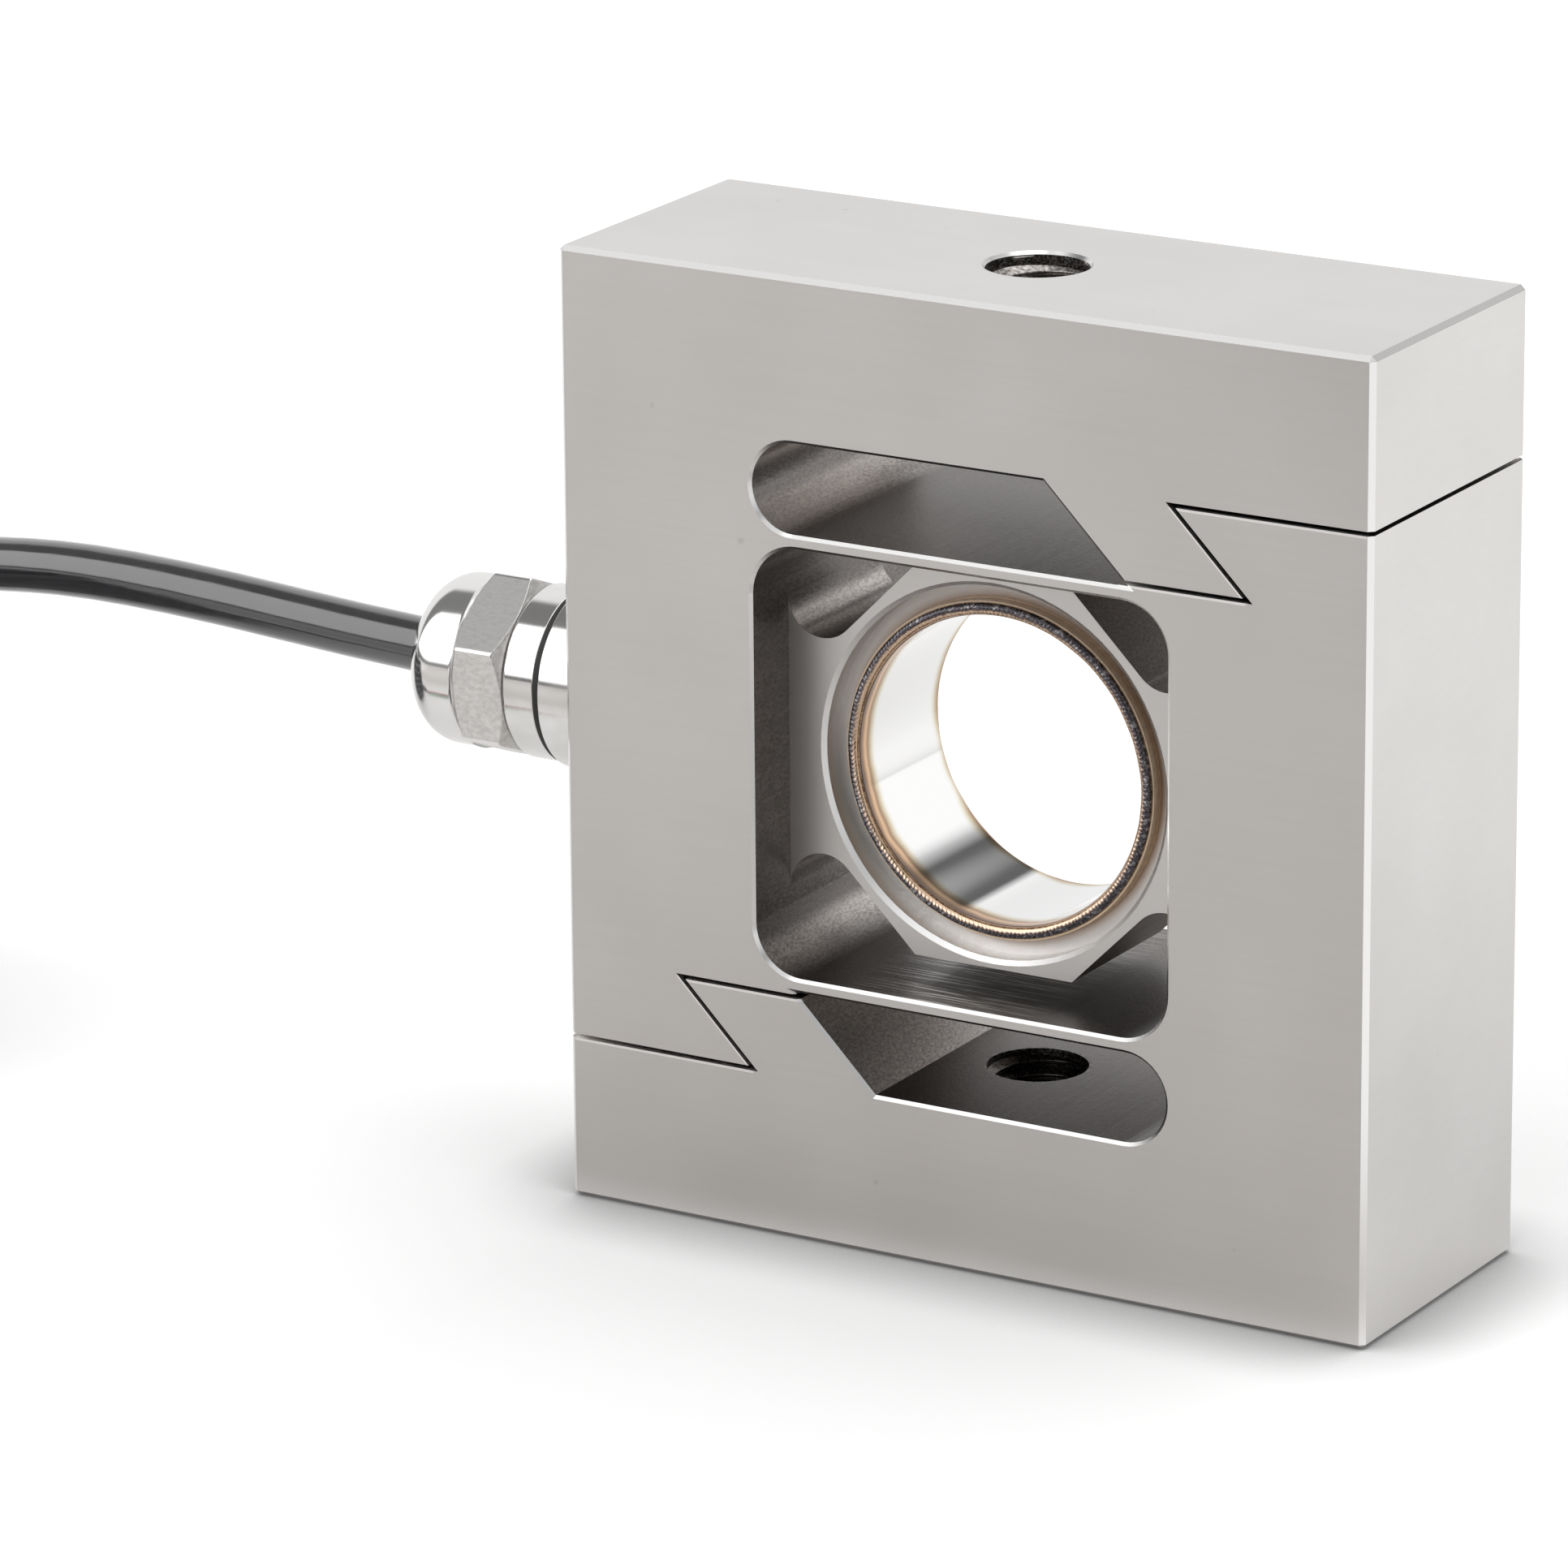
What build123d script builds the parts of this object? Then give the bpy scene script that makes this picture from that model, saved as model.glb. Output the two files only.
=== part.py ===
from build123d import *
import math
import os

# S type load cell, millimetres. The origin is the mouth of the lower end thread, Z points up
# along the line of force, X to the right along the front face and Y away from the front.

# Block
block_w = 70.0
block_t = 25.0
block_h = 77.0
edge_chamfer = 0.4
rim_chamfer = 0.25

# Slots, given for the upper one: the lower is the same turned by half a turn about Y
slot_h = 7.2
slot_reach = 18.0
slot_corner_x = 7.4
slit_w = 0.35
slit_turn_x = 18.25
slit_overrun = 1.0

# Pocket on each face, with the shear web left between the two
beam_t = 1.1
pocket_half_w = 18.0
pocket_half_h = 17.2
pocket_corner_r = 4.0
pocket_depth = 5.5
web_gap = 1.65
web_flat_half = 6.9
web_foot_r = 3.0

# Bore through the web, gauge chamber and the recess round the weld
bore_r = 12.85
lip_t = 0.6
lip_drop = 1.0
recess_r = 14.85
recess_depth = 2.0
recess_chamfer = 0.35
chamber_r = 14.0
chamber_half = 4.0
sleeve_t = 0.5
sleeve_gap = 0.05
bead_h = 0.5
bead_overlap = 0.45
channel_r = 2.5
channel_overrun = 0.3

# End threads, M8 with their lead chamfers
thread_r = 4.0
thread_rim_r = 4.25
thread_lead_angle = 90

# Strain gauges and what is beside them in the chamber
bond_t = 0.02
gauge_t = 0.2
gauge_arc = 24.0
gauge_w = 4.2
gauge_angles = (45.0, 135.0, 225.0, 315.0)
tab_t = 0.25
tab_arc = 4.5
tab_w = 1.1
tab_angles = (158.0, 165.0, 195.0, 202.0)
tab_depths = (-1.0, 1.0)
resistor_t = 0.45
resistor_w = 1.6
span_resistor_angle = 75.0
span_resistor_arc = 12.0
zero_resistor_angle = 0.0
zero_resistor_arc = 9.0
harness_t = 0.15
harness_w = 1.0
harness_r = 13.3
harness_y = 3.0

# Cable
cable_r = 2.25
core_r = 0.5
core_ring_r = 0.85
core_count = 4
core_angle = 45
core_gap = 0.03
jacket_start = 3.0
core_inner_end = 14.2
potting_l = 6.0
potting_gap = 0.02

# Cable gland on the left side face, lengths measured out from that face
boss_r = 7.3
boss_flare = 0.6
boss_l = 5.9
stub_r = 5.0
stub_floor = 1.5
stub_gap = 0.05
ring_t = 0.6
ring_inner_r = 5.3
ring_outer_r = 6.95
collar_r = 7.0
collar_l = 2.95
collar_chamfer = 0.2
body_bore_r = 2.45
nut_stub_r = 5.2
nut_stub_l = 3.75
seal_wall = 1.25
seal_l = 5.2
seal_seat_l = 3.0
seal_gap = 0.05
seal_taper_l = 0.6
seal_taper = 0.3
washer_t = 1.0
washer_r = 4.8
nut_gap = 0.15
nut_across = 13.5
nut_hex_l = 4.6
nut_vertex_angle = 22.3
nut_thread_r = 5.25
dome_r = 6.9
dome_neck_l = 2.1
dome_arc_r = 3.0
nut_mouth_r = 2.6
nut_mouth_l = 0.9

# Coil of the put-away cable, which rests on its tie
lead_clear = 0.73
coil_mean_r = 22.8
turn_pitch = 4.7
coil_columns = 3
coil_layers = 8
top_layer_columns = 2
coil_corner = 1.4
coil_skin = 0.1
tie_t = 0.4
tie_w = 9.0
tie_gap = 0.05
tie_angle = 190.0
lead_in_l = 12.0
tail_angle = 270.0
tail_l = 27.0

# Stripped end of the cable
shrink_t = 0.45
shrink_gap = 0.05
shrink_l = 14.0
shrink_overlap = 9.0
core_length = 25.0
core_straight = 0.28
core_landing = 0.64
core_landing_spread = 0.8
core_landing_gap = 0.2
screen_r = 0.3

# Worked out from the sizes above
mid_z = block_h / 2
half_w = block_w / 2
half_t = block_t / 2
slot_bottom = pocket_half_h + beam_t
slot_top = slot_bottom + slot_h
end_slab = mid_z - slot_top
web_half = half_t - pocket_depth
web_top = pocket_half_h - web_gap
web_foot = web_top - (pocket_half_w - web_flat_half)
sleeve_outer_r = bore_r - sleeve_gap
sleeve_inner_r = sleeve_outer_r - sleeve_t
lip_y = web_half - lip_drop
ring_start = boss_l
collar_start = ring_start + ring_t
collar_end = collar_start + collar_l
nut_stub_end = collar_end + nut_stub_l
seal_seat = nut_stub_end - seal_seat_l
nut_start = collar_end + nut_gap
hex_end = nut_start + nut_hex_l
neck_end = hex_end + dome_neck_l
nut_end = neck_end + dome_arc_r
coil_base = tie_t + tie_gap

# Cable route from its end inside the gland to the coil, as chosen points
cable_route = [
    (-half_w - jacket_start, 0, mid_z),
    (-54.0, 0, mid_z),
    (-84.0, 0, 39.64),
    (-99.0, 0, 38.5),
    (-110.0, 0, 36.8),
]

# Stripped wires at the far end: radius, place in the cable (sideways, up) in shares of the
# ring that the cores lie on, and how far to the side each comes to lie
end_wires = {
    "core_red": (core_r, 0.7, 0.7, 5.4),
    "core_black": (core_r, 0.7, -0.7, 2.6),
    "shield_lead": (screen_r, 0.0, 0.0, 0.2),
    "core_green": (core_r, -0.7, -0.7, -2.6),
    "core_white": (core_r, -0.7, 0.7, -5.4),
}

bore_axis = Axis((0, 0, mid_z), (0, -1, 0))
gland_axis = Axis((0, 0, mid_z), (1, 0, 0))
ring_plane = Plane(origin=(0, 0, mid_z), x_dir=(1, 0, 0), z_dir=(0, 0, 1))
gland_plane = Plane(origin=(-half_w, 0, mid_z), x_dir=(-1, 0, 0), z_dir=(0, 1, 0))

os.makedirs("parts", exist_ok=True)


def window_plane(side):
    """Mid plane of the block seen from the front; side -1 turns it by half a turn."""
    return Plane(origin=(0, 0, mid_z), x_dir=(side, 0, 0), z_dir=(0, -1, 0))


def gland_face(out):
    """Plane across the gland's axis, this far out from the side face."""
    return Plane(origin=(-half_w - out, 0, mid_z), x_dir=(0, -1, 0), z_dir=(-1, 0, 0))


def chamber_station(angle):
    """Half plane from the bore's axis outwards at this angle: x is the radius, y is depth."""
    a = math.radians(angle)
    outward = (math.cos(a), 0, math.sin(a))
    return Plane(origin=(0, 0, mid_z), x_dir=outward, z_dir=(-math.sin(a), 0, math.cos(a)))


def export(part, label):
    """Label the finished piece and write its STEP file."""
    part.label = label
    export_step(part, f"parts/{label}.step")


def corner_radii(points):
    """One bend radius for each corner, as large as the shorter of its two runs allows."""
    radii = []
    for before, corner, after in zip(points, points[1:], points[2:]):
        run_in = Vector(*corner) - Vector(*before)
        run_out = Vector(*after) - Vector(*corner)
        half_turn = math.radians(run_in.get_angle(run_out)) / 2
        radii.append(0.45 * min(run_in.length, run_out.length) / math.tan(half_turn))
    return radii


def tube(points, radius):
    """Round wire or cable along straight runs joined by tangent arcs."""
    with BuildPart() as wire:
        with BuildLine() as route:
            FilletPolyline(*points, radius=corner_radii(points))
        with BuildSketch(route.line ^ 0):
            Circle(radius)
        sweep(path=route.line)
    return wire.part, route.wire().length


def chamber_patch(angle, arc, width, thickness, depth=0.0):
    """Thin curved patch bonded to the chamber's round wall."""
    outer = chamber_r - bond_t
    with BuildPart() as patch:
        with BuildSketch(chamber_station(angle - arc / 2)):
            with Locations((outer - thickness / 2, depth)):
                Rectangle(thickness, width)
        revolve(axis=bore_axis, revolution_arc=arc)
    return patch.part


def turned(profile):
    """Ring turned about the gland's axis from (length out, radius) corners."""
    with BuildPart() as ring:
        with BuildSketch(gland_plane):
            with BuildLine():
                Polyline(*profile, close=True)
            make_face()
        revolve(axis=gland_axis)
    return ring.part


# Spring body: one block, cut from both faces into an S with a thin web in the middle
slit_rise = slot_h - 2 * slit_w
with BuildPart() as spring_body:
    with BuildSketch(Plane.XY):
        Rectangle(block_w, block_t)
    extrude(amount=block_h)
    chamfer(spring_body.edges(), length=edge_chamfer)

    for side in (1, -1):
        with BuildSketch(window_plane(side)):
            with BuildLine():
                round_x = slot_h / 2 - slot_reach
                Polyline(
                    (round_x, slot_bottom),
                    (slot_corner_x + slot_h, slot_bottom),
                    (slot_corner_x, slot_top),
                    (round_x, slot_top),
                )
                ThreePointArc(
                    (round_x, slot_top),
                    (-slot_reach, slot_top - slot_h / 2),
                    (round_x, slot_bottom),
                )
            make_face()
        extrude(amount=block_t, both=True, mode=Mode.SUBTRACT)

    for face_y in (-half_t, half_t):
        inward = Vector(0, -math.copysign(1, face_y), 0)
        with BuildSketch(Plane(origin=(0, face_y, mid_z), x_dir=(1, 0, 0), z_dir=inward)):
            RectangleRounded(2 * pocket_half_w, 2 * pocket_half_h, pocket_corner_r)
        extrude(amount=pocket_depth, mode=Mode.SUBTRACT)

    flat_faces = spring_body.faces().filter_by(Plane.XZ)
    rims = ShapeList()
    for face in (flat_faces.sort_by(Axis.Y)[0], flat_faces.sort_by(Axis.Y)[-1]):
        for wire in face.inner_wires():
            rims += wire.edges()
    chamfer(rims, length=rim_chamfer)

    # Cut-outs above and below the web, right through it, with sloping corners beside it
    for side in (1, -1):
        with BuildSketch(window_plane(side)) as cut_out:
            with BuildLine():
                Polyline(
                    (-pocket_half_w, pocket_half_h),
                    (pocket_half_w, pocket_half_h),
                    (pocket_half_w, web_foot),
                    (web_flat_half, web_top),
                    (-web_flat_half, web_top),
                    (-pocket_half_w, web_foot),
                    close=True,
                )
            make_face()
            fillet(cut_out.vertices().group_by(Axis.Y)[-1], radius=pocket_corner_r)
            fillet(cut_out.vertices().group_by(Axis.Y)[0], radius=web_foot_r)
        extrude(amount=web_half, both=True, mode=Mode.SUBTRACT)

    # Bore, closed gauge chamber inside the web, and the recess with the weld's thin lip
    with BuildSketch(ring_plane) as ring_cut:
        with BuildLine():
            Polyline(
                (0, 0),
                (chamber_r, 0),
                (chamber_r, chamber_half),
                (bore_r, chamber_half),
                (bore_r, lip_y),
                (bore_r + lip_t, lip_y),
                (bore_r + lip_t, web_half - recess_depth),
                (recess_r, web_half - recess_depth),
                (recess_r, web_half - recess_chamfer),
                (recess_r + recess_chamfer, web_half),
                (0, web_half),
                close=True,
            )
        make_face()
        mirror(about=Plane.XZ)
    revolve(axis=bore_axis, mode=Mode.SUBTRACT)

    # Cable channel from the left side face into the chamber
    channel_l = half_w - math.sqrt(chamber_r**2 - channel_r**2) + channel_overrun
    with BuildSketch(gland_face(0)):
        Circle(channel_r)
    extrude(amount=-channel_l, mode=Mode.SUBTRACT)

    # End threads through both slabs into the slots
    for mouth in (Plane.XY.offset(block_h), Plane.YX):
        with Locations(mouth):
            CounterSinkHole(thread_r, thread_rim_r, end_slab + slot_h / 2, thread_lead_angle)

    # Overload slits, from each slot's slanting end, back on themselves as a hook and out at the side
    for side in (1, -1):
        slit_low = slot_bottom + slit_w
        with BuildSketch(window_plane(side)):
            with BuildLine():
                Polyline(
                    (slot_corner_x + slot_h - slit_overrun, slit_low),
                    (slit_turn_x + slit_rise, slit_low),
                    (slit_turn_x, slit_low + slit_rise),
                    (half_w + slit_overrun, slit_low + slit_rise),
                )
            trace(line_width=slit_w)
        extrude(amount=block_t, both=True, mode=Mode.SUBTRACT)
export(spring_body.part, "spring_body")

# Thin sleeve that closes the chamber, laser welded to the lip at both ends
with BuildPart() as gauge_sleeve:
    with BuildSketch(ring_plane):
        with Locations(((sleeve_inner_r + sleeve_outer_r) / 2, 0)):
            Rectangle(sleeve_t, 2 * lip_y)
    revolve(axis=bore_axis)
export(gauge_sleeve.part, "gauge_sleeve")

bead_mid_r = (sleeve_outer_r + bore_r) / 2
bead_half = (sleeve_outer_r - sleeve_inner_r) / 2 + bead_overlap / 2
for label, face in (("front_weld_bead", -1), ("rear_weld_bead", 1)):
    with BuildPart() as weld_bead:
        with BuildSketch(ring_plane):
            with BuildLine():
                Line((bead_mid_r - bead_half, face * lip_y), (bead_mid_r + bead_half, face * lip_y))
                ThreePointArc(
                    (bead_mid_r - bead_half, face * lip_y),
                    (bead_mid_r, face * (lip_y + bead_h)),
                    (bead_mid_r + bead_half, face * lip_y),
                )
            make_face()
        revolve(axis=bore_axis)
    export(weld_bead.part, label)

# Four foil gauges on the chamber's wall, at 45 degrees to the line of force
for number, angle in enumerate(gauge_angles, start=1):
    export(chamber_patch(angle, gauge_arc, gauge_w, gauge_t), f"strain_gauge_{number}")

with BuildPart() as terminal_tabs:
    for angle in tab_angles:
        for depth in tab_depths:
            add(chamber_patch(angle, tab_arc, tab_w, tab_t, depth))
export(terminal_tabs.part, "terminal_tabs")

export(
    chamber_patch(span_resistor_angle, span_resistor_arc, resistor_w, resistor_t),
    "span_resistor",
)
export(
    chamber_patch(zero_resistor_angle, zero_resistor_arc, resistor_w, resistor_t),
    "zero_resistor",
)

with BuildPart() as bridge_wires:
    with BuildSketch(ring_plane):
        with Locations((harness_r, harness_y)):
            Rectangle(harness_t, harness_w)
    revolve(axis=bore_axis)
export(bridge_wires.part, "bridge_wires")

# Cable cores from the jacket's end through the channel to the chamber
with BuildPart() as inner_cores:
    with BuildSketch(gland_face(jacket_start)):
        with PolarLocations(core_ring_r, core_count, start_angle=core_angle):
            Circle(core_r)
    extrude(amount=core_inner_end - half_w - jacket_start)
export(inner_cores.part, "inner_cores")

with BuildPart() as potting_plug:
    with BuildSketch(gland_face(0)):
        Circle(channel_r - potting_gap)
        with PolarLocations(core_ring_r, core_count, start_angle=core_angle):
            Circle(core_r + core_gap, mode=Mode.SUBTRACT)
    extrude(amount=-potting_l)
export(potting_plug.part, "potting_plug")

# Gland: welded boss, sealing ring, screwed body, rubber seal, washer and dome nut
gland_boss = turned(
    [
        (0, channel_r),
        (0, boss_r + boss_flare),
        (boss_flare, boss_r),
        (boss_l, boss_r),
        (boss_l, stub_r + stub_gap),
        (stub_floor, stub_r + stub_gap),
        (stub_floor, channel_r),
    ]
)
export(gland_boss, "gland_boss")

gland_o_ring = turned(
    [
        (ring_start, ring_inner_r),
        (ring_start, ring_outer_r),
        (collar_start, ring_outer_r),
        (collar_start, ring_inner_r),
    ]
)
export(gland_o_ring, "gland_o_ring")

seal_r = cable_r + seal_gap + seal_wall
gland_body = turned(
    [
        (stub_floor + nut_gap, body_bore_r),
        (stub_floor + nut_gap, stub_r),
        (collar_start, stub_r),
        (collar_start, collar_r - collar_chamfer),
        (collar_start + collar_chamfer, collar_r),
        (collar_end - collar_chamfer, collar_r),
        (collar_end, collar_r - collar_chamfer),
        (collar_end, nut_stub_r),
        (nut_stub_end, nut_stub_r),
        (nut_stub_end, seal_r + seal_gap),
        (seal_seat, seal_r + seal_gap),
        (seal_seat, body_bore_r),
    ]
)
export(gland_body, "gland_body")

seal_start = seal_seat + seal_gap
seal_end = seal_start + seal_l
seal_insert = turned(
    [
        (seal_start, cable_r + seal_gap),
        (seal_start, seal_r),
        (seal_end - seal_taper_l, seal_r),
        (seal_end, seal_r - seal_taper),
        (seal_end, cable_r + seal_gap),
    ]
)
export(seal_insert, "seal_insert")

washer_start = seal_end + seal_gap
washer_end = washer_start + washer_t
pressure_ring = turned(
    [
        (washer_start, body_bore_r),
        (washer_start, washer_r),
        (washer_end, washer_r),
        (washer_end, body_bore_r),
    ]
)
export(pressure_ring, "pressure_ring")

nut_corner_r = nut_across / 2 / math.cos(math.radians(30))
corner_slope = (nut_corner_r - nut_across / 2) * math.tan(math.radians(30))
with BuildPart() as gland_nut:
    with BuildSketch(gland_face(nut_start)):
        RegularPolygon(nut_across / 2, 6, major_radius=False, rotation=nut_vertex_angle)
    extrude(amount=nut_hex_l)
    with BuildSketch(gland_plane):
        with BuildLine():
            Polyline(
                (nut_start, 0),
                (nut_start, nut_across / 2),
                (nut_start + corner_slope, nut_corner_r),
                (hex_end - corner_slope, nut_corner_r),
                (hex_end, nut_across / 2),
                (hex_end, 0),
                close=True,
            )
        make_face()
    revolve(axis=gland_axis, mode=Mode.INTERSECT)
    with BuildSketch(gland_plane):
        with BuildLine():
            Polyline((hex_end, 0), (hex_end, dome_r), (neck_end, dome_r))
            RadiusArc((neck_end, dome_r), (nut_end, dome_r - dome_arc_r), dome_arc_r)
            Polyline((nut_end, dome_r - dome_arc_r), (nut_end, 0), (hex_end, 0))
        make_face()
    revolve(axis=gland_axis)
    with BuildSketch(gland_plane):
        with BuildLine():
            cone_start = washer_end + seal_gap
            Polyline(
                (nut_start, 0),
                (nut_start, nut_thread_r),
                (cone_start, nut_thread_r),
                (nut_end - nut_mouth_l, nut_mouth_r),
                (nut_end, nut_mouth_r),
                (nut_end, 0),
                close=True,
            )
        make_face()
    revolve(axis=gland_axis, mode=Mode.SUBTRACT)
export(gland_nut.part, "gland_nut")

# Free stretch of the cable
cable_lead, lead_l = tube(cable_route, cable_r)
export(cable_lead, "cable_lead")
print("cable bend radii", [round(r, 1) for r in corner_radii(cable_route)])
print("cable lead length", round(lead_l, 1))
print("volume over section times length", cable_lead.volume / (math.pi * cable_r**2 * lead_l))

# Coil: outer shape of its turns, with the cable's way in at the top and its tail on the floor
coil_half_w = (coil_columns - 1) / 2 * turn_pitch + cable_r + coil_skin
coil_in = coil_mean_r - coil_half_w
coil_out = coil_mean_r + coil_half_w
coil_top = coil_base + (coil_layers - 1) * turn_pitch + 2 * (cable_r + coil_skin)
coil_shoulder = coil_top - turn_pitch
shelf_r = coil_in + (top_layer_columns - 1) * turn_pitch + 2 * (cable_r + coil_skin)

# The coil's axis lies where the lead meets its turns midway, just past the lead's end
lead_end = Vector(*cable_route[-1])
lead_direction = (lead_end - Vector(*cable_route[-2])).normalized()
coil_x = lead_end.X - math.sqrt(coil_out**2 - coil_mean_r**2) - lead_clear
coil_y = lead_end.Y - coil_mean_r
coil_axis = Axis((coil_x, coil_y, 0), (0, 0, 1))


def coil_station(angle):
    """Upright half plane from the coil's axis outwards at this angle."""
    a = math.radians(angle)
    outward = (math.cos(a), math.sin(a), 0)
    return Plane(
        origin=(coil_x, coil_y, 0), x_dir=outward, z_dir=(math.sin(a), -math.cos(a), 0)
    )


def coil_section():
    """Section of the wound turns in the coil's half plane, as (radius, height) corners."""
    Polyline(
        (coil_in, coil_base),
        (coil_out, coil_base),
        (coil_out, coil_shoulder),
        (shelf_r, coil_top),
        (coil_in, coil_top),
        close=True,
    )


tail_r = coil_out - coil_skin - cable_r
tail_z = coil_base + coil_skin + cable_r
with BuildPart() as cable_coil:
    with BuildSketch(coil_station(0)) as section:
        with BuildLine():
            coil_section()
        make_face()
        chamfer(section.vertices(), length=coil_corner)
    revolve(axis=coil_axis)
    with BuildSketch(Plane(origin=lead_end, z_dir=lead_direction)):
        Circle(cable_r)
    extrude(amount=lead_in_l)
    with BuildSketch(coil_station(tail_angle)):
        with Locations((tail_r, tail_z)):
            Circle(cable_r)
    extrude(amount=-tail_l)
print("cable coil solids", len(cable_coil.solids()))
export(cable_coil.part, "cable_coil")

tie_arc = math.degrees(tie_w / coil_mean_r)
with BuildPart() as coil_tie:
    with BuildSketch(coil_station(tie_angle)) as band:
        with BuildLine():
            coil_section()
        make_face()
        chamfer(band.vertices(), length=coil_corner)
        offset(amount=tie_gap + tie_t)
        with BuildSketch(mode=Mode.PRIVATE) as inside:
            with BuildLine():
                coil_section()
            make_face()
            chamfer(inside.vertices(), length=coil_corner)
            offset(amount=tie_gap)
        add(inside.sketch, mode=Mode.SUBTRACT)
    revolve(axis=coil_axis, revolution_arc=tie_arc)
export(coil_tie.part, "coil_tie")

# Far end: heat shrink sleeve over the jacket's end, four stripped cores and the screen wire
tail_station = coil_station(tail_angle)
along = tail_station.z_dir * -1
across = tail_station.x_dir
jacket_end = tail_station.from_local_coords(Vector(tail_r, tail_z, -tail_l))


def end_point(out, sideways, height):
    """Point beyond the jacket's end: this far out, sideways and above the floor."""
    base = jacket_end + along * out + across * sideways
    return (base.X, base.Y, height)


shrink_start = jacket_end - along * shrink_overlap
with BuildPart() as heat_shrink:
    with BuildSketch(Plane(origin=shrink_start, z_dir=along)):
        Circle(cable_r + shrink_gap + shrink_t)
        Circle(cable_r + shrink_gap, mode=Mode.SUBTRACT)
    extrude(amount=shrink_l)
export(heat_shrink.part, "heat_shrink")

for label, (wire_r, sideways, up, lies_at) in end_wires.items():
    side_start = core_ring_r * sideways
    height_start = tail_z + core_ring_r * up
    wire_piece, _ = tube(
        [
            end_point(0, side_start, height_start),
            end_point(core_straight * core_length, side_start, height_start),
            end_point(
                core_landing * core_length,
                core_landing_spread * lies_at,
                wire_r + core_landing_gap,
            ),
            end_point(core_length, lies_at, wire_r),
        ],
        wire_r,
    )
    export(wire_piece, label)
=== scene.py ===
import math

import bpy
from mathutils import Matrix, Vector


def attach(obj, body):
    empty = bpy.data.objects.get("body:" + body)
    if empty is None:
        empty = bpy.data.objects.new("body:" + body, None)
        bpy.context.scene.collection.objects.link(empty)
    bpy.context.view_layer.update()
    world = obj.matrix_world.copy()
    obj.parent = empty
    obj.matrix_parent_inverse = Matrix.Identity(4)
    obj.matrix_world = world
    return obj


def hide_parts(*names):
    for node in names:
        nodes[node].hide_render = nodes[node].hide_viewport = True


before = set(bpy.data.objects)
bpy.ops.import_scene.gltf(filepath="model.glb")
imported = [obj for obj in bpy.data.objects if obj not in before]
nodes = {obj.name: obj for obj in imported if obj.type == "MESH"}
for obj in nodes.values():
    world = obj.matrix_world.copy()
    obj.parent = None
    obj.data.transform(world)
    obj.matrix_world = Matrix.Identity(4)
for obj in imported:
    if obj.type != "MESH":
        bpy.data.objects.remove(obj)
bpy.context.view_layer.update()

# Measures of the part in millimetres; its origin is the middle of the bottom face

MM = 0.001
HALF_W = 35.0
HALF_T = 12.5
BLOCK_H = 77.0
MID_Z = BLOCK_H / 2
EDGE_CHAMFER = 0.4
POCKET_HALF_W = 18.0
WEB_FACE_Y = 7.0
RECESS_R = 14.85


# Camera: the photograph's long lens, fitted to the block's corners

LENS = 207.82
SENSOR = 36.0
CAMERA_PLACE = (0.3252, -0.5791, 0.2442)
CAMERA_HEADING = 31.0
CAMERA_LOOKS_DOWN = 17.41
CAMERA_ROLL = -0.51

camera_data = bpy.data.cameras.new("camera")
camera_data.lens = LENS
camera_data.sensor_width = SENSOR
camera_data.clip_start = 0.01
camera_data.clip_end = 20.0
camera = bpy.data.objects.new("camera", camera_data)
bpy.context.scene.collection.objects.link(camera)
camera.matrix_world = (
    Matrix.Translation(CAMERA_PLACE)
    @ Matrix.Rotation(math.radians(CAMERA_HEADING), 4, "Z")
    @ Matrix.Rotation(math.radians(90.0 - CAMERA_LOOKS_DOWN), 4, "X")
    @ Matrix.Rotation(math.radians(CAMERA_ROLL), 4, "Z")
)
bpy.context.scene.camera = camera
bpy.context.scene.view_settings.view_transform = "Standard"


# Helpers for meshes, in millimetres


def add_piece(name, points, faces, look, replaced=()):
    """Add a smooth mesh that rides on the part and may stand for CAD nodes."""
    mesh = bpy.data.meshes.new(name)
    mesh.from_pydata([(x * MM, y * MM, z * MM) for x, y, z in points], [], faces)
    mesh.validate()
    for polygon in mesh.polygons:
        polygon.use_smooth = True
    mesh.materials.append(look.material)
    piece = bpy.data.objects.new(name, mesh)
    bpy.context.scene.collection.objects.link(piece)
    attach(piece, "root")
    if replaced:
        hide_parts(*replaced)
    return piece


def grid(rows, columns, wrap_rows=False, wrap_columns=True):
    """Quads of a grid of points, stored row after row."""
    faces = []
    for i in range(rows if wrap_rows else rows - 1):
        for j in range(columns if wrap_columns else columns - 1):
            a, b = i * columns, ((i + 1) % rows) * columns
            k = (j + 1) % columns
            faces.append((a + j, b + j, b + k, a + k))
    return faces


def softened(profile, radius):
    """Closed profile with its corners rounded and a support point beside each."""
    longest_share, support, support_share = 0.35, 0.05, 0.1
    rounded = []
    count = len(profile)
    for i in range(count):
        before, corner, after = (Vector(profile[(i + d) % count]) for d in (-1, 0, 1))
        to_before, to_after = before - corner, after - corner
        reach = min(radius, longest_share * to_before.length, longest_share * to_after.length)
        first = corner + to_before.normalized() * reach
        last = corner + to_after.normalized() * reach
        beside_first = min(support, support_share * to_before.length)
        beside_last = min(support, support_share * to_after.length)
        rounded.append(first + to_before.normalized() * beside_first)
        for t in (0.0, 0.33, 0.67, 1.0):
            rounded.append(first * (1 - t) ** 2 + corner * 2 * t * (1 - t) + last * t ** 2)
        rounded.append(last + to_after.normalized() * beside_last)
    return [tuple(point) for point in rounded]


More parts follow.
